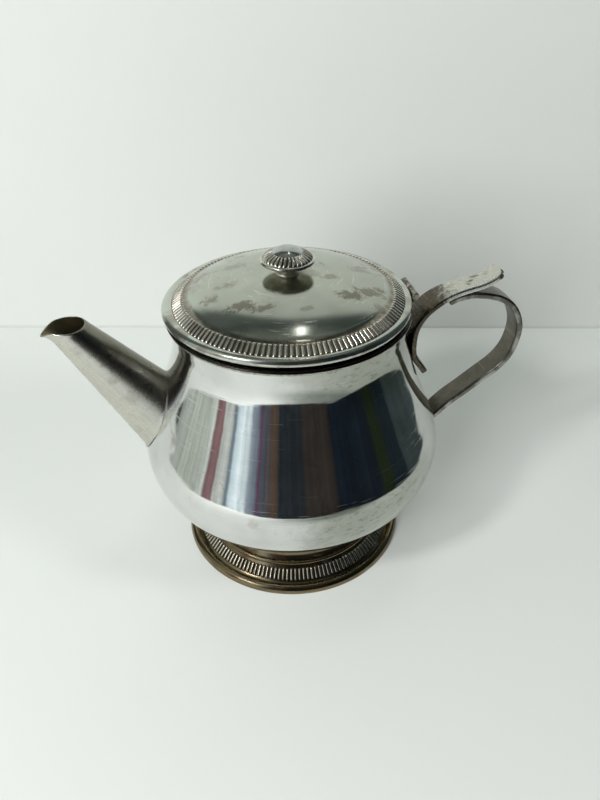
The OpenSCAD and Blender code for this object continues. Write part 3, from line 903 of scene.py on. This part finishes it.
def stage_place(g):
    """Where the surface point is across the stage and away from the camera's side."""
    c, s = math.cos(TURN_Z), math.sin(TURN_Z)
    across = g.minus(g.times(g.x, c), g.times(g.y, s))
    away = g.plus(g.times(g.x, s), g.times(g.y, c))
    return across, away


def paint(name, colour, dim, shade, one_sided=False):
    """Matt paint with a faint unevenness, dimmed towards the dim colour by the painted shade that shade
    gives; one-sided paint is clear from behind.
    """
    g = Graph(name)
    g.place()
    tone = g.mix(g.noise(g.vec, 0.004, 2.0), colour, darker(colour, 0.97))
    tone = g.mix(shade(g, *stage_place(g)), tone, dim)
    n = g.add("ShaderNodeBsdfPrincipled")
    g.put(n.inputs["Base Color"], tone)
    n.inputs["Roughness"].default_value = 0.75
    n.inputs["Specular IOR Level"].default_value = 0.2
    if not one_sided:
        return g.finish(n.outputs[0])
    either = g.add("ShaderNodeMixShader")
    g.put(either.inputs[0], g.add("ShaderNodeNewGeometry").outputs["Backfacing"])
    g.put(either.inputs[1], n.outputs[0])
    g.put(either.inputs[2], g.add("ShaderNodeBsdfTransparent").outputs[0])
    return g.finish(either.outputs[0])


def wall_y(x):
    """Line on the floor where the slightly turned back wall stands."""
    return 206.7 - 0.0481 * x


def floor_shade(g, across, away):
    """Painted shadow: floor that gets dim towards the camera, most of all on the right."""
    return g.times(g.ramp(away, -165.0, -300.0), g.ramp(across, -170.0, 110.0, 0.05, 1.0))


def wall_shade(g, across, away):
    """Painted shade: the wall fades above the camera's view and goes dark near its arched top, and a painted
    contact shadow makes a thin dark line at its foot.
    """
    off = g.minus(across, 20.0)
    arch = g.plus(g.z, g.times(g.times(off, off), 0.0045))
    foot = g.ramp(g.z, 3.2, 0.8, 0.0, 0.14)
    return g.most(g.ramp(g.z, 260.0, 480.0, 0.0, 0.2), g.ramp(arch, 520.0, 730.0), foot)


# Floor and wall paint carry painted shade and painted shadow from their shade functions.
floor_paint = paint("floor_paint", (0.80, 0.83, 0.80, 1), (0.30, 0.33, 0.30, 1), floor_shade)
wall_paint = paint("wall_paint", (0.66, 0.685, 0.655, 1), (0.07, 0.085, 0.08, 1), wall_shade, True)
stage_mesh("floor", [(LEFT_X, FRONT_Y, -0.05), (RIGHT_X, FRONT_Y, -0.05), (RIGHT_X, wall_y(RIGHT_X), -0.05),
                     (LEFT_X, wall_y(LEFT_X), -0.05)], floor_paint)
stage_mesh("wall", [(WALL_LEFT, wall_y(WALL_LEFT), -1), (RIGHT_X, wall_y(RIGHT_X), -1),
                    (RIGHT_X, wall_y(RIGHT_X), WALL_TOP), (WALL_LEFT, wall_y(WALL_LEFT), WALL_TOP)],
           wall_paint)
# The floor goes on further out, a little lower, and polished metal doesn't mirror that part
floor_far = level_sheet("floor_far", -2500, 2500, -2500, 2500, -0.6, floor_paint)
floor_far.visible_glossy = False

# Upright bands of the room, from left to right: the azimuth from the camera's side and the colour
ROOM_BANDS = (
    (-100, (0.42, 0.46, 0.42)), (-72, (0.50, 0.55, 0.49)), (-63.5, (0.60, 0.64, 0.60)),
    (-62, (0.25, 0.15, 0.155)), (-56, (0.29, 0.17, 0.175)), (-55, (0.58, 0.60, 0.58)),
    (-48, (0.62, 0.64, 0.62)), (-46.5, (0.16, 0.22, 0.26)), (-45, (0.20, 0.26, 0.30)),
    (-43.5, (0.66, 0.79, 0.85)), (-38, (0.95, 1.08, 1.14)), (-33, (0.84, 0.97, 1.02)),
    (-31, (0.36, 0.42, 0.49)), (-27.5, (0.22, 0.26, 0.32)), (-25, (0.12, 0.14, 0.18)),
    (-24, (0.16, 0.04, 0.09)), (-22.5, (0.08, 0.10, 0.13)), (-13, (0.10, 0.065, 0.045)),
    (-10.5, (0.07, 0.06, 0.05)), (-9.5, (0.022, 0.028, 0.035)), (7, (0.024, 0.03, 0.034)),
    (9, (0.042, 0.036, 0.032)), (28, (0.040, 0.034, 0.030)), (31, (0.012, 0.018, 0.028)),
    (60, (0.012, 0.018, 0.026)), (66, (0.018, 0.028, 0.013)), (71, (0.020, 0.028, 0.016)),
    (75, (0.014, 0.022, 0.030)), (84, (0.018, 0.028, 0.034)), (87, (0.045, 0.06, 0.064)),
    (126, (0.07, 0.09, 0.088)))


def room_tone():
    """The room's bands, with uneven brightness."""
    g = Graph("room_card")
    g.place()
    azimuth = g.times(g.plus(g.angle, math.pi / 2 + TURN_Z), 180 / math.pi)
    turn = g.math("FRACT", g.math("DIVIDE", g.plus(azimuth, 360.0 - CARD_FROM), 360.0))
    bands = g.add("ShaderNodeValToRGB")
    g.put(bands.inputs[0], g.times(turn, 360 / CARD_SPAN))
    stops = bands.color_ramp.elements
    stops.remove(stops[-1])
    stops[0].position = 0.0
    stops[0].color = ROOM_BANDS[0][1] + (1,)
    for degrees, colour in ROOM_BANDS[1:]:
        stops.new((degrees - CARD_FROM) / CARD_SPAN).color = colour + (1,)
    blots = g.noise(g.combine(g.times(azimuth, 0.35), g.times(g.z, 0.004), 0.0), 1.0, 5.0, 0.7)
    return g.glow(bands.outputs[0], g.ramp(blots, 0.3, 0.7, 0.7, 1.25))


def room_card(columns=48):
    """Round card in front of the table, which the metal mirrors and the camera doesn't see."""
    verts, faces = [], []
    for k in range(columns + 1):
        a = math.radians(CARD_FROM + CARD_SPAN * k / columns)
        verts += [(CARD_R * math.sin(a), -CARD_R * math.cos(a), z) for z in (CARD_FOOT, ROOM_TOP)]
    for k in range(columns):
        faces.append((2 * k, 2 * k + 2, 2 * k + 3, 2 * k + 1))
    card = stage_mesh("room", verts, room_tone(), False, faces)
    card.visible_shadow = False


def ceiling_tone():
    """Ceiling that gets darker away from the camera."""
    g = Graph("ceiling_tone")
    g.place()
    across, away = stage_place(g)
    colour = g.mix(g.ramp(away, 420.0, 120.0), (0.065, 0.08, 0.082, 1), (0.20, 0.215, 0.19, 1))
    return g.glow(colour, g.ramp(g.noise(g.vec, 0.006, 4.0), 0.3, 0.7, 0.8, 1.2))


room_card()
ceiling = level_sheet("ceiling", -900, 900, -900, 760, ROOM_TOP, ceiling_tone(), False)
lamp_glow = Graph("ceiling_lamp_light").glow((1.0, 1.0, 0.98, 1), 5.0)
lamp_card = level_sheet("ceiling_lamp", 70, 150, 180, 330, ROOM_TOP - 10, lamp_glow, False)
for mirrored in (ceiling, lamp_card):
    mirrored.visible_diffuse = False
    mirrored.visible_shadow = False


# Lights and world

def area_lamp(name, place, target, size, tall, power, colour, glossy=False):
    """Oblong lamp that shines from a place of the stage at a target."""
    data = bpy.data.lights.new(name, "AREA")
    data.shape = "RECTANGLE"
    data.size = size * MM
    data.size_y = tall * MM
    data.energy = power
    data.color = colour
    obj = bpy.data.objects.new(name, data)
    scene.collection.objects.link(obj)
    loc = to_part(*place) * MM
    obj.location = loc
    obj.rotation_euler = (to_part(*target) * MM - loc).to_track_quat("-Z", "Y").to_euler()
    obj.visible_glossy = glossy
    obj.visible_camera = False


area_lamp("key", (-440, -740, 430), (10, 20, 40), 320, 560, 6.8, (1.0, 0.99, 0.985))
area_lamp("left", (-1000, -800, 1100), (60, 20, 20), 200, 200, 9.0, (1.0, 1.0, 0.99), True)
area_lamp("side", (640, -300, 620), (0, 0, 20), 160, 160, 1.35, (0.99, 1.0, 0.99))
area_lamp("top", (111, 220, ROOM_TOP - 10), (0, 0, 60), 300, 300, 0.8, (0.98, 1.0, 0.99))


def room_world():
    """Faint light from all sides; where the camera looks past the stage, it sees a pale backdrop."""
    world = bpy.data.worlds.new("room_light")
    scene.world = world
    world.use_nodes = True
    nodes, links = world.node_tree.nodes, world.node_tree.links
    room = nodes["Background"]
    room.inputs[0].default_value = (0.86, 0.90, 0.87, 1)
    room.inputs[1].default_value = 0.08
    backdrop = nodes.new("ShaderNodeBackground")
    backdrop.inputs[0].default_value = (0.72, 0.75, 0.73, 1)
    either = nodes.new("ShaderNodeMixShader")
    links.new(nodes.new("ShaderNodeLightPath").outputs["Is Camera Ray"], either.inputs[0])
    links.new(room.outputs[0], either.inputs[1])
    links.new(backdrop.outputs[0], either.inputs[2])
    links.new(either.outputs[0], nodes["World Output"].inputs[0])


room_world()
scene.view_settings.view_transform = "Standard"


# Camera

# Place on the stage, lens, and angles in radians: downwards, about the view's axis, and to the side
CAMERA_PLACE = (0, -266.02, 271.73)
LENS, SENSOR = 39.6, 36
PITCH, ROLL, YAW = 0.631, -0.014, 0.017


def add_camera():
    data = bpy.data.cameras.new("camera")
    data.sensor_fit = "HORIZONTAL"
    data.sensor_width = SENSOR
    data.lens = LENS
    data.clip_start = 0.01
    camera = bpy.data.objects.new("camera", data)
    scene.collection.objects.link(camera)
    level = math.cos(PITCH)
    forward = Vector((math.sin(YAW) * level, math.cos(YAW) * level, -math.sin(PITCH)))
    right = Vector((math.cos(YAW), -math.sin(YAW), 0))
    above = right.cross(forward)
    right_rolled = right * math.cos(ROLL) + above * math.sin(ROLL)
    above_rolled = -right * math.sin(ROLL) + above * math.cos(ROLL)
    axes = [to_part(*v) for v in (right_rolled, above_rolled, -forward)]
    matrix = Matrix([list(v) for v in axes]).transposed().to_4x4()
    matrix.translation = to_part(*CAMERA_PLACE) * MM
    camera.matrix_world = matrix
    scene.camera = camera


add_camera()
